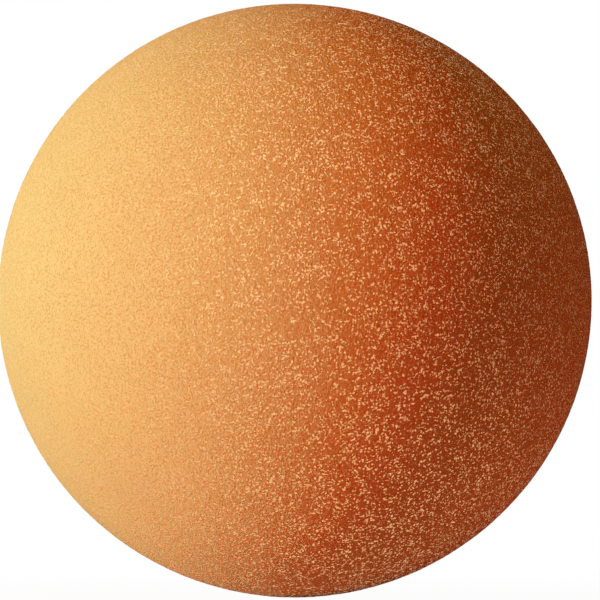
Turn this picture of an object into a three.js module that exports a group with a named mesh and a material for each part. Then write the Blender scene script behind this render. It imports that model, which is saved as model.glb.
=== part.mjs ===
// A table football ball: a hard core closed inside two grippy half-cups that are bonded together.
// Millimetres, +Z up, with the origin at the centre of the ball. The cups part on the XZ plane,
// so the ball is put together along Y and every piece is turned about that axis.

import * as THREE from 'three';

// Driving dimensions
const ballDiameter = 35;
const coverWall = 3;
const bondGap = 0.1;          // film of adhesive between the core and the cover

// Tongue round the front cup's rim, in the middle of the wall, and its groove in the rear cup
const tongueWidth = 1.1;      // across its foot
const tongueHeight = 1.3;
const tongueDraft = 6;        // degrees of taper on each flank
const tongueRounding = 0.25;  // radius on both edges of the tip
const grooveClearance = 0.1;  // room for adhesive all round the tongue

// Fineness of the round forms
const facetAngle = 6;         // degrees of arc to a facet
const roundingFacets = 3;

const outerRadius = ballDiameter / 2;
const innerRadius = outerRadius - coverWall;
const coreRadius = innerRadius - bondGap;
const jointRadius = outerRadius - coverWall / 2;

// Points along an arc, from one angle to the other the short way round, in degrees
function arcPoints(centre, radius, startAngle, endAngle, facets) {
  const start = THREE.MathUtils.degToRad(startAngle);
  const end = THREE.MathUtils.degToRad(endAngle);
  const clockwise = startAngle > endAngle;
  const arc = new THREE.ArcCurve(centre.x, centre.y, radius, start, end, clockwise);
  return arc.getPoints(facets);
}

// Part of a half section's round outline, about the centre of the ball
function ballArc(radius, startAngle, endAngle) {
  const facets = Math.round(Math.abs(endAngle - startAngle) / facetAngle);
  return arcPoints(new THREE.Vector2(), radius, startAngle, endAngle, facets);
}

// Section through the rim joint, from its inner foot over the tip to its outer foot. With no
// clearance it is the tongue. With some it is the groove, that far from the tongue all round.
function jointSection(clearance) {
  const draft = THREE.MathUtils.degToRad(tongueDraft);
  const halfFoot = tongueWidth / 2 + clearance / Math.cos(draft);
  const roundingHeight = tongueHeight - tongueRounding;
  const flankInset = roundingHeight * Math.tan(draft) + tongueRounding / Math.cos(draft);
  const roundingOffset = tongueWidth / 2 - flankInset;
  const roundingRadius = tongueRounding + clearance;
  const innerCentre = new THREE.Vector2(jointRadius - roundingOffset, roundingHeight);
  const outerCentre = new THREE.Vector2(jointRadius + roundingOffset, roundingHeight);
  return [
    new THREE.Vector2(jointRadius - halfFoot, 0),
    ...arcPoints(innerCentre, roundingRadius, 180 - tongueDraft, 90, roundingFacets),
    ...arcPoints(outerCentre, roundingRadius, 90, tongueDraft, roundingFacets),
    new THREE.Vector2(jointRadius + halfFoot, 0),
  ];
}

// One piece, turned about the Y axis from its half section
function turned(name, profile, finish) {
  const geometry = new THREE.LatheGeometry(profile, Math.round(360 / facetAngle));
  const material = new THREE.MeshStandardMaterial(finish);
  const mesh = new THREE.Mesh(geometry, material);
  mesh.name = name;
  return mesh;
}

// Hard, pale, smooth plastic
const coreFinish = { color: '#e9dcc0', roughness: 0.6, metalness: 0 };

// Soft matt orange
const coverFinish = { color: '#e08a48', roughness: 0.85, metalness: 0 };

const core = turned('core', ballArc(coreRadius, -90, 90), coreFinish);

// The front cup faces -Y. Its flat rim lies on the parting plane and the tongue stands up from it.
const frontProfile = [
  ...ballArc(outerRadius, -90, 0),
  ...jointSection(0).reverse(),
  ...ballArc(innerRadius, 0, -90),
];
const frontCover = turned('front_cover', frontProfile, coverFinish);

// The rear cup's rim meets the front one's face to face, with the groove sunk into it
const rearProfile = [
  ...ballArc(innerRadius, 90, 0),
  ...jointSection(grooveClearance),
  ...ballArc(outerRadius, 0, 90),
];
const rearCover = turned('rear_cover', rearProfile, coverFinish);

const ball = new THREE.Group();
ball.add(core, frontCover, rearCover);

export default ball;
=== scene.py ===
import math

import bpy
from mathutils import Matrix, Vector


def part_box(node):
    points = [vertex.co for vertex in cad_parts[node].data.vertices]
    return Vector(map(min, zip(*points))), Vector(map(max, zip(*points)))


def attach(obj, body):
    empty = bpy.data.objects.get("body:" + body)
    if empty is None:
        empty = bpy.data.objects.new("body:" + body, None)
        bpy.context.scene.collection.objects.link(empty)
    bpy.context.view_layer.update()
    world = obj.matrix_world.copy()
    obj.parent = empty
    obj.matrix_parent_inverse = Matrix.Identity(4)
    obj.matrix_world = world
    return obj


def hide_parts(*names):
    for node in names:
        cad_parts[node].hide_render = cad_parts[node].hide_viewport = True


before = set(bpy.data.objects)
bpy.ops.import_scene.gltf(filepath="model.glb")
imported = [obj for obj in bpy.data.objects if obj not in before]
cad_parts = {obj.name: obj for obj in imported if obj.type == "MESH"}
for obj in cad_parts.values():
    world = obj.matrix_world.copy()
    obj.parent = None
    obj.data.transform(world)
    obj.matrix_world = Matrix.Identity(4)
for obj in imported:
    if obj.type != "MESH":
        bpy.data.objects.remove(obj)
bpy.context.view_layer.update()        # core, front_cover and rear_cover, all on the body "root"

mm = 0.001

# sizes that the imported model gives
frontLow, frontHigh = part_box("front_cover")
ballRadius = -frontLow.y
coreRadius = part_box("core")[1].z
tongueHeight = frontHigh.y      # the front cup's tongue stands this far past the parting plane


def deselectAll():
    if bpy.context.mode != "OBJECT":
        bpy.ops.object.mode_set(mode="OBJECT")
    bpy.ops.object.select_all(action="DESELECT")


def selectOnly(piece):
    deselectAll()
    piece.select_set(True)
    bpy.context.view_layer.objects.active = piece


# leaves edit mode open on the elements of the piece that pass the test:
# a face by its centre, a point by its place and an edge by its two ends
def pick(piece, kind, test):
    selectOnly(piece)
    bpy.ops.object.mode_set(mode="EDIT")
    bpy.ops.mesh.select_mode(type=kind)
    bpy.ops.mesh.select_all(action="DESELECT")
    bpy.ops.object.mode_set(mode="OBJECT")
    points = piece.data.vertices
    if kind == "FACE":
        for face in piece.data.polygons:
            face.select = test(face.center)
    elif kind == "VERT":
        for point in points:
            point.select = test(point.co)
    else:
        for edge in piece.data.edges:
            edge.select = test(points[edge.vertices[0]].co, points[edge.vertices[1]].co)
    bpy.ops.object.mode_set(mode="EDIT")


# leaves edit mode open on the half of a ball that lies on one side of the parting plane
def keepHalf(ball, side):
    pick(ball, "FACE", lambda place: place.y * side < 0)
    bpy.ops.mesh.delete(type="FACE")


# a geodesic ball with one ring of edges lying on the parting plane
def addBall(name, radius, fineness):
    deselectAll()
    quarterTurn = (math.radians(90), 0, 0)
    bpy.ops.mesh.primitive_ico_sphere_add(subdivisions=fineness, radius=radius, rotation=quarterTurn)
    ball = bpy.context.object
    ball.name = name
    bpy.ops.object.transform_apply(location=False, rotation=True, scale=False)
    return ball


# the finished outside of the cover, whole, so that the grain runs on across the seam
skinShape = {
    "fineness": 8,                  # geodesic steps, which leave about 0.16 mm between points
    "granuleSize": 0.16 * mm,
    "granuleDepth": 0.03 * mm,
    "waveSize": 1.6 * mm,
    "waveDepth": 0.012 * mm,
    "seamDepth": 0.03 * mm,         # fine V along the parting line
}


# sinks noise of one size into the ball, leaving its peaks at the surface
def carve(ball, label, size, depth):
    noise = bpy.data.textures.new(label, "CLOUDS")
    noise.noise_scale = size
    noise.noise_depth = 0
    selectOnly(ball)
    bpy.ops.object.modifier_add(type="DISPLACE")
    relief = ball.modifiers[-1]
    relief.texture = noise
    relief.texture_coords = "LOCAL"
    relief.mid_level = 1
    relief.strength = depth
    bpy.ops.object.modifier_apply(modifier=relief.name)


def makeSkin(shape):
    ball = addBall("skin", ballRadius, shape["fineness"])
    carve(ball, "waves", shape["waveSize"], shape["waveDepth"])
    carve(ball, "granules", shape["granuleSize"], shape["granuleDepth"])

    # the ring on the parting plane is drawn back flat on to it and a little inwards
    slack = shape["granuleDepth"]
    inwards = 1 - shape["seamDepth"] / ballRadius
    pick(ball, "VERT", lambda place: abs(place.y) < slack)
    bpy.ops.transform.resize(value=(inwards, 0, inwards), center_override=(0, 0, 0))
    bpy.ops.object.mode_set(mode="OBJECT")
    return ball


skin = makeSkin(skinShape)
print("skin grained:", len(skin.data.polygons), "faces")


# each half of the cover: grained outside, plain liner inside, rim joint between them
coverShape = {
    "linerFineness": 6,
    "bondGap": 0.1 * mm,            # film of adhesive round the core
    "tongueWidth": 1.1 * mm,        # across its foot
    "tongueDraft": math.radians(6),
    "tongueRounding": 0.25 * mm,
    "roundingSteps": 3,
    "grooveClearance": 0.1 * mm,
    "smoothUpTo": math.radians(65),
}
linerRadius = coreRadius + coverShape["bondGap"]
jointRadius = (ballRadius + linerRadius) / 2


# draws the selected ring of edges out to a new ring, leaving a wall behind it
def runRim(ring, radius, height):
    rise = (0, height - ring["height"], 0)
    bpy.ops.mesh.extrude_region_move(TRANSFORM_OT_translate={"value": rise})
    share = radius / ring["radius"]
    bpy.ops.transform.resize(value=(share, 1, share), center_override=(0, height, 0))
    ring["radius"] = radius
    ring["height"] = height


# liner with its rim: inner land, then tongue or groove, up to the foot of the outer land
def makeLiner(side, clearance, shape):
    liner = addBall("liner", linerRadius, shape["linerFineness"])
    keepHalf(liner, side)

    tipHeight = tongueHeight + clearance
    halfFoot = shape["tongueWidth"] / 2 + clearance / math.cos(shape["tongueDraft"])
    halfTip = halfFoot - tipHeight * math.tan(shape["tongueDraft"])
    bpy.ops.mesh.select_all(action="SELECT")
    bpy.ops.mesh.region_to_loop()
    ring = {"radius": linerRadius, "height": 0}
    runRim(ring, jointRadius - halfFoot, 0)
    runRim(ring, jointRadius - halfTip, tipHeight)
    runRim(ring, jointRadius + halfTip, tipHeight)
    runRim(ring, jointRadius + halfFoot, 0)

    # the two edges round the tip are rounded
    slack = halfTip / 4             # well under the width of the tip

    def roundTip(start, end):
        reaches = [math.hypot(place.x, place.z) - jointRadius for place in (start, end)]
        atHeight = all(abs(place.y - tipHeight) < slack for place in (start, end))
        onRim = all(abs(abs(reach) - halfTip) < slack for reach in reaches)
        return atHeight and onRim and abs(reaches[0] - reaches[1]) < slack

    pick(liner, "EDGE", roundTip)
    rounding = shape["tongueRounding"] + clearance
    bpy.ops.mesh.bevel(offset=rounding, segments=shape["roundingSteps"], affect="EDGES")
    bpy.ops.object.mode_set(mode="OBJECT")
    return liner


# side is -1 for the half in front of the parting plane and 1 for the half behind it
def makeCover(name, side, clearance, shape):
    selectOnly(skin)
    bpy.ops.object.duplicate()
    cover = bpy.context.object
    cover.name = name
    keepHalf(cover, side)
    liner = makeLiner(side, clearance, shape)

    # the outer land closes the skin and the liner into one body
    selectOnly(cover)
    liner.select_set(True)
    bpy.ops.object.join()
    bpy.ops.object.mode_set(mode="EDIT")
    bpy.ops.mesh.select_mode(type="EDGE")
    bpy.ops.mesh.select_all(action="DESELECT")
    bpy.ops.mesh.select_non_manifold(use_wire=False, use_multi_face=False, use_non_contiguous=False,
                                     use_verts=False)
    bpy.ops.mesh.bridge_edge_loops()
    bpy.ops.mesh.select_all(action="SELECT")
    bpy.ops.mesh.normals_make_consistent(inside=False)
    bpy.ops.object.mode_set(mode="OBJECT")
    bpy.ops.object.shade_smooth_by_angle(angle=shape["smoothUpTo"])
    return cover


frontCover = makeCover("front_half_cover", -1, 0, coverShape)
rearCover = makeCover("rear_half_cover", 1, coverShape["grooveClearance"], coverShape)
bpy.data.objects.remove(skin)
print("covers:", len(frontCover.data.polygons), "and", len(rearCover.data.polygons), "faces")


# node helpers
def addNode(tree, kind, **settings):
    node = tree.nodes.new(kind)
    for setting, value in settings.items():
        setattr(node, setting, value)
    return node


# a maths node fed by numbers or by other nodes' outputs
def addMath(tree, operation, *values):
    node = addNode(tree, "ShaderNodeMath", operation=operation)
    for place, value in enumerate(values):
        if isinstance(value, (int, float)):
            node.inputs[place].default_value = value
        else:
            tree.links.new(value, node.inputs[place])
    return node.outputs["Value"]


# a value between 0 and 1, moved to lie about 0
def addCentered(tree, value):
    return addMath(tree, "SUBTRACT", value, 0.5)


def addNoise(tree, vector, scale, detail):
    node = addNode(tree, "ShaderNodeTexNoise")
    node.inputs["Scale"].default_value = scale
    node.inputs["Detail"].default_value = detail
    tree.links.new(vector, node.inputs["Vector"])
    return node.outputs["Fac"]


# carries a value from one range into another, easing in and out
def addRange(tree, value, start, end, low, high):
    node = addNode(tree, "ShaderNodeMapRange", interpolation_type="SMOOTHSTEP")
    node.inputs["From Min"].default_value = start
    node.inputs["From Max"].default_value = end
    node.inputs["To Min"].default_value = low
    node.inputs["To Max"].default_value = high
    tree.links.new(value, node.inputs["Value"])
    return node.outputs["Result"]


# a mix of two colours, each a tuple or another node's output
def addMix(tree, share, first, second):
    node = addNode(tree, "ShaderNodeMix", data_type="RGBA")
    tree.links.new(share, node.inputs[0])
    sockets = [socket for socket in node.inputs if socket.type == "RGBA"]
    for socket, color in zip(sockets, (first, second)):
        if isinstance(color, tuple):
            socket.default_value = (*color, 1)
        else:
            tree.links.new(color, socket)
    return [socket for socket in node.outputs if socket.type == "RGBA"][0]


# tells rays from the camera, and rays that a surface mirrors or lets through
def addRays(tree):
    rays = addNode(tree, "ShaderNodeLightPath").outputs
    mirrorRays = addMath(tree, "MAXIMUM", rays["Is Glossy Ray"], rays["Is Transmission Ray"])
    return rays["Is Camera Ray"], mirrorRays


# grain of a moulded skin, shared by the cover and the core
grainShape = {
    "granules": (1, 1),             # each noise's scale, where 1 is one granule, and its detail
    "patches": (0.115, 2),
    "mottle": (0.027, 3),
    "pitting": (1.6, 1),
    "cellScale": 1,
    "chanceLift": 0.5,              # how far chance lifts or sinks a cell
    "edgeSink": 0.25,               # how much lower a cell lies away from its middle
    "fleckSharpness": 3.4,          # more leaves fewer flecks bright
    "fleckHeight": 0.15,            # beside granules 1 high
    "pittingHeight": 0.3,
    "pitShadeLevels": (0.5, 0.36),       # granule levels at which the painted shade in the hollows starts and is full
    "mottleLevels": (0.35, 0.65),
}


def makeGrain(shape):
    tree = bpy.data.node_groups.new("mouldGrain", "ShaderNodeTree")
    for name in ("Vector", "Spacing", "Patchiness", "Threshold", "Softness"):
        kind = "NodeSocketVector" if name == "Vector" else "NodeSocketFloat"
        tree.interface.new_socket(name, in_out="INPUT", socket_type=kind)
    for name in ("Height", "Flecks", "PitShade", "Mottle"):
        tree.interface.new_socket(name, in_out="OUTPUT", socket_type="NodeSocketFloat")
    given = addNode(tree, "NodeGroupInput").outputs
    result = addNode(tree, "NodeGroupOutput").inputs

    # one unit is one granule
    scaled = addNode(tree, "ShaderNodeVectorMath", operation="SCALE")
    tree.links.new(given["Vector"], scaled.inputs["Vector"])
    tree.links.new(addMath(tree, "DIVIDE", 1, given["Spacing"]), scaled.inputs["Scale"])
    place = scaled.outputs["Vector"]

    granules = addNoise(tree, place, *shape["granules"])
    patches = addNoise(tree, place, *shape["patches"])
    mottle = addNoise(tree, place, *shape["mottle"])
    pitting = addNoise(tree, place, *shape["pitting"])

    # cells break the granules up: each lifts what lies in it by chance, most of all at its middle
    cells = addNode(tree, "ShaderNodeTexVoronoi")
    cells.inputs["Scale"].default_value = shape["cellScale"]
    tree.links.new(place, cells.inputs["Vector"])
    chance = addNode(tree, "ShaderNodeSeparateColor")
    tree.links.new(cells.outputs["Color"], chance.inputs["Color"])
    lift = addMath(tree, "MULTIPLY", addCentered(tree, chance.outputs["Red"]), shape["chanceLift"])
    lift = addMath(tree, "MULTIPLY_ADD", cells.outputs["Distance"], -shape["edgeSink"], lift)

    # flecks are the highest tips, few of them bright, and thicker in some patches than in others
    drift = addMath(tree, "MULTIPLY_ADD", addCentered(tree, patches), given["Patchiness"], lift)
    level = addMath(tree, "SUBTRACT", addMath(tree, "ADD", granules, drift), given["Threshold"])
    tips = addMath(tree, "DIVIDE", addMath(tree, "MAXIMUM", level, 0), given["Softness"])
    flecks = addMath(tree, "MINIMUM", addMath(tree, "POWER", tips, shape["fleckSharpness"]), 1)

    height = addMath(tree, "MULTIPLY_ADD", flecks, shape["fleckHeight"], granules)
    height = addMath(tree, "MULTIPLY_ADD", pitting, shape["pittingHeight"], height)
    tree.links.new(height, result["Height"])
    tree.links.new(flecks, result["Flecks"])
    # the lowest granule levels mark the hollows that get painted shade
    tree.links.new(addRange(tree, granules, *shape["pitShadeLevels"], 0, 1), result["PitShade"])
    tree.links.new(addRange(tree, mottle, *shape["mottleLevels"], 0, 1), result["Mottle"])
    return tree


grain = makeGrain(grainShape)


# a material with the grain read in the piece's own coordinates: a body, deeper at random, with painted shade
# in its hollows, under flecks
def startMaterial(name, look):
    material = bpy.data.materials.new(name)
    material.use_nodes = True
    tree = material.node_tree
    shader = tree.nodes["Principled BSDF"]
    coordinates = addNode(tree, "ShaderNodeTexCoord")
    skinGrain = addNode(tree, "ShaderNodeGroup", node_tree=grain)
    for setting in ("Spacing", "Patchiness", "Threshold", "Softness"):
        skinGrain.inputs[setting].default_value = look[setting.lower()]
    tree.links.new(coordinates.outputs["Object"], skinGrain.inputs["Vector"])
    mask = skinGrain.outputs

    bump = addNode(tree, "ShaderNodeBump")
    bump.inputs["Strength"].default_value = 1
    bump.inputs["Distance"].default_value = look["depth"]
    tree.links.new(mask["Height"], bump.inputs["Height"])
    tree.links.new(bump.outputs["Normal"], shader.inputs["Normal"])

    color = addMix(tree, mask["Mottle"], look["body"], look["deepBody"])
    # painted shade: the hollows between granules are darkened and reddened as if the light missed them
    if "pitShade" in look:
        color = addMix(tree, mask["PitShade"], color, look["pitShade"])
    color = addMix(tree, mask["Flecks"], color, look["fleck"])
    roughness = addRange(tree, mask["Flecks"], 0, 1, look["bodyRoughness"], look["fleckRoughness"])
    tree.links.new(color, shader.inputs["Base Color"])
    tree.links.new(roughness, shader.inputs["Roughness"])
    return material, shader, mask


coverLook = {
    "spacing": 0.12 * mm,           # from granule to granule
    "patchiness": 0.15,
    "threshold": 0.437,             # level at which a tip starts to show as a fleck
    "softness": 0.176,              # further rise at which it is fully bright
    "depth": 0.036 * mm,
    "body": (0.88, 0.53, 0.185),
    "deepBody": (0.86, 0.51, 0.175),
    # painted shade for the hollows between granules
    "pitShade": (0.79, 0.37, 0.105),
    "fleck": (1, 0.59, 0.26),
    "bodyRoughness": 0.85,
    "fleckRoughness": 0.65,
    "specular": 0.02,
}


def makeCoverMaterial(look):
    material, shader, mask = startMaterial("grippy_orange", look)
    material.node_tree.links.new(mask["Flecks"], shader.inputs["Metallic"])     # their sheen
    shader.inputs["Specular IOR Level"].default_value = look["specular"]
    material.cycles.use_bump_map_correction = False
    return material


coreLook = {
    "spacing": 0.6 * mm,
    "patchiness": 0.3,
    "threshold": 0.5,
    "softness": 0.2,
    "depth": 0.01 * mm,
    "body": (0.81, 0.72, 0.53),
    "deepBody": (0.74, 0.64, 0.45),
    "fleck": (0.86, 0.79, 0.64),
    "bodyRoughness": 0.5,
    "fleckRoughness": 0.35,
}


def makeCoreMaterial(look):
    return startMaterial("pale_plastic", look)[0]


def dress(piece, material):
    for slot in piece.material_slots:
        slot.material = material


coverMaterial = makeCoverMaterial(coverLook)
for cover, node in ((frontCover, "front_cover"), (rearCover, "rear_cover")):
    cover.data.materials.clear()
    cover.data.materials.append(coverMaterial)
    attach(cover, "root")
    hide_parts(node)
dress(bpy.data.objects["core"], makeCoreMaterial(coreLook))
print("materials on covers and core")


# floor: white to the eye, with a share of its true shading left near the ball for the shadow
floorLook = {
    "size": 4,                      # metres
    "paper": (0.8, 0.38, 0.32),     # colour of the light that it throws back on to the ball
    "whiteness": 0.97,              # share of plain white under the ball
    "shadowReach": 0.07,            # metres from there to where all is plain white
}


def makeFloor(look):
    deselectAll()
    bpy.ops.mesh.primitive_plane_add(size=look["size"], location=(0, 0, -ballRadius))
    floor = bpy.context.object
    floor.name = "floor"
    material = bpy.data.materials.new("white_paper")
    material.use_nodes = True
    tree = material.node_tree
    paper = tree.nodes["Principled BSDF"]
    paper.inputs["Base Color"].default_value = (*look["paper"], 1)
    paper.inputs["Roughness"].default_value = 1
    paper.inputs["Specular IOR Level"].default_value = 0
    white = addNode(tree, "ShaderNodeEmission")

    coordinates = addNode(tree, "ShaderNodeTexCoord")
    reach = addNode(tree, "ShaderNodeVectorMath", operation="LENGTH")
    tree.links.new(coordinates.outputs["Object"], reach.inputs["Vector"])
    whiteness = addRange(tree, reach.outputs["Value"], 0, look["shadowReach"], look["whiteness"], 1)

    # mirrors see the white on the left only, because the surroundings are dim on the right
    side = addNode(tree, "ShaderNodeSeparateXYZ")
    tree.links.new(coordinates.outputs["Object"], side.inputs["Vector"])
    mirrored = addRange(tree, side.outputs["X"], 0, look["shadowReach"], 1, 0)
    cameraRays, mirrorRays = addRays(tree)
    seen = addMath(tree, "MULTIPLY", cameraRays, whiteness)
    share = addMath(tree, "MAXIMUM", seen, addMath(tree, "MULTIPLY", mirrorRays, mirrored))
    mix = addNode(tree, "ShaderNodeMixShader")
    tree.links.new(share, mix.inputs["Fac"])
    tree.links.new(paper.outputs["BSDF"], mix.inputs[1])
    tree.links.new(white.outputs["Emission"], mix.inputs[2])
    tree.links.new(mix.outputs["Shader"], tree.nodes["Material Output"].inputs["Surface"])
    floor.data.materials.append(material)


# direction by compass: 0 stands in front of the ball, 90 on its right and 180 behind it
def compass(azimuth, elevation):
    turn = math.radians(azimuth)
    rise = math.radians(elevation)
    return Vector((math.sin(turn) * math.cos(rise), -math.cos(turn) * math.cos(rise), math.sin(rise)))


# surroundings: white to the eye, and white in reflections apart from one dim side
worldLook = {
    "dimSide": 110,                 # by compass
    "dimFrom": 0.37,                # cosines to that side at which the dimming starts and ends
    "dimTo": 0.7,
    "dimLevel": 0.04,
}


def makeWorld(look):
    world = bpy.data.worlds.new("studio")
    bpy.context.scene.world = world
    world.use_nodes = True
    tree = world.node_tree
    way = addNode(tree, "ShaderNodeVectorMath", operation="DOT_PRODUCT")
    way.inputs[1].default_value = compass(look["dimSide"], 0)
    tree.links.new(addNode(tree, "ShaderNodeTexCoord").outputs["Generated"], way.inputs[0])
    level = addRange(tree, way.outputs["Value"], look["dimFrom"], look["dimTo"], 1, look["dimLevel"])
    cameraRays, mirrorRays = addRays(tree)
    strength = addMath(tree, "MAXIMUM", cameraRays, addMath(tree, "MULTIPLY", mirrorRays, level))
    white = tree.nodes["Background"]
    white.inputs["Color"].default_value = (1, 1, 1, 1)
    tree.links.new(strength, white.inputs["Strength"])


# lamps, by compass and in degrees: these five shade the body
bodyLamps = {
    "edge": {"azimuth": 280, "elevation": 4, "spread": 12, "strength": 3.5, "color": (0, 0.65, 1)},
    "middle": {"azimuth": 294, "elevation": 12, "spread": 12, "strength": 1.55, "color": (0.23, 1, 0.45)},
    "warm": {"azimuth": 308, "elevation": 14, "spread": 14, "strength": 2.53, "color": (1, 0.113, 0.083)},
    "top": {"azimuth": 0, "elevation": 85, "spread": 60, "strength": 0.62, "color": (1, 0.32, 0)},
    "rear": {"azimuth": 200, "elevation": 12, "spread": 30, "strength": 1.5, "color": (1, 0.35, 0.25)},
}

# and only the flecks' sheen shows these two faint wide ones
sheenLamps = {
    "glint": {"azimuth": 0, "elevation": 10, "spread": 120, "strength": 0.85, "color": (1, 0.34, 0.43)},
    "gleam": {"azimuth": 290, "elevation": 10, "spread": 120, "strength": 1.35, "color": (0.15, 0.88, 0.87)},
}
lampDistance = 0.3                  # metres, only to keep the lamps clear of the ball


def addLamp(name, lamp, sheenOnly):
    light = bpy.data.lights.new(name, "SUN")
    light.angle = math.radians(lamp["spread"])
    light.energy = lamp["strength"]
    light.color = lamp["color"]
    holder = bpy.data.objects.new(name, light)
    way = compass(lamp["azimuth"], lamp["elevation"])
    holder.location = way * lampDistance
    holder.rotation_euler = (-way).to_track_quat("-Z", "Y").to_euler()
    holder.visible_diffuse = not sheenOnly
    holder.visible_glossy = sheenOnly
    bpy.context.scene.collection.objects.link(holder)


# camera: level with the ball, framing its outline as in the photograph
view = {
    "distance": 0.6,                # metres
    "framePixels": 600,
    "radiusPixels": 297.14,
    "centerPixels": (294.88, 300.61),
}


def addCamera(plan):
    camera = bpy.data.cameras.new("camera")
    half = plan["framePixels"] / 2
    limb = math.tan(math.asin(ballRadius / plan["distance"]))
    camera.lens = camera.sensor_width / 2 * plan["radiusPixels"] / (limb * half)
    camera.shift_x = (half - plan["centerPixels"][0]) / plan["framePixels"]
    camera.shift_y = (plan["centerPixels"][1] - half) / plan["framePixels"]
    holder = bpy.data.objects.new("camera", camera)
    holder.location = (0, -plan["distance"], 0)
    holder.rotation_euler = (math.radians(90), 0, 0)
    bpy.context.scene.collection.objects.link(holder)
    bpy.context.scene.camera = holder


makeFloor(floorLook)
makeWorld(worldLook)
for name, lamp in bodyLamps.items():
    addLamp(name, lamp, False)
for name, lamp in sheenLamps.items():
    addLamp(name, lamp, True)
addCamera(view)
bpy.context.scene.view_settings.view_transform = "Standard"
print("stage set")
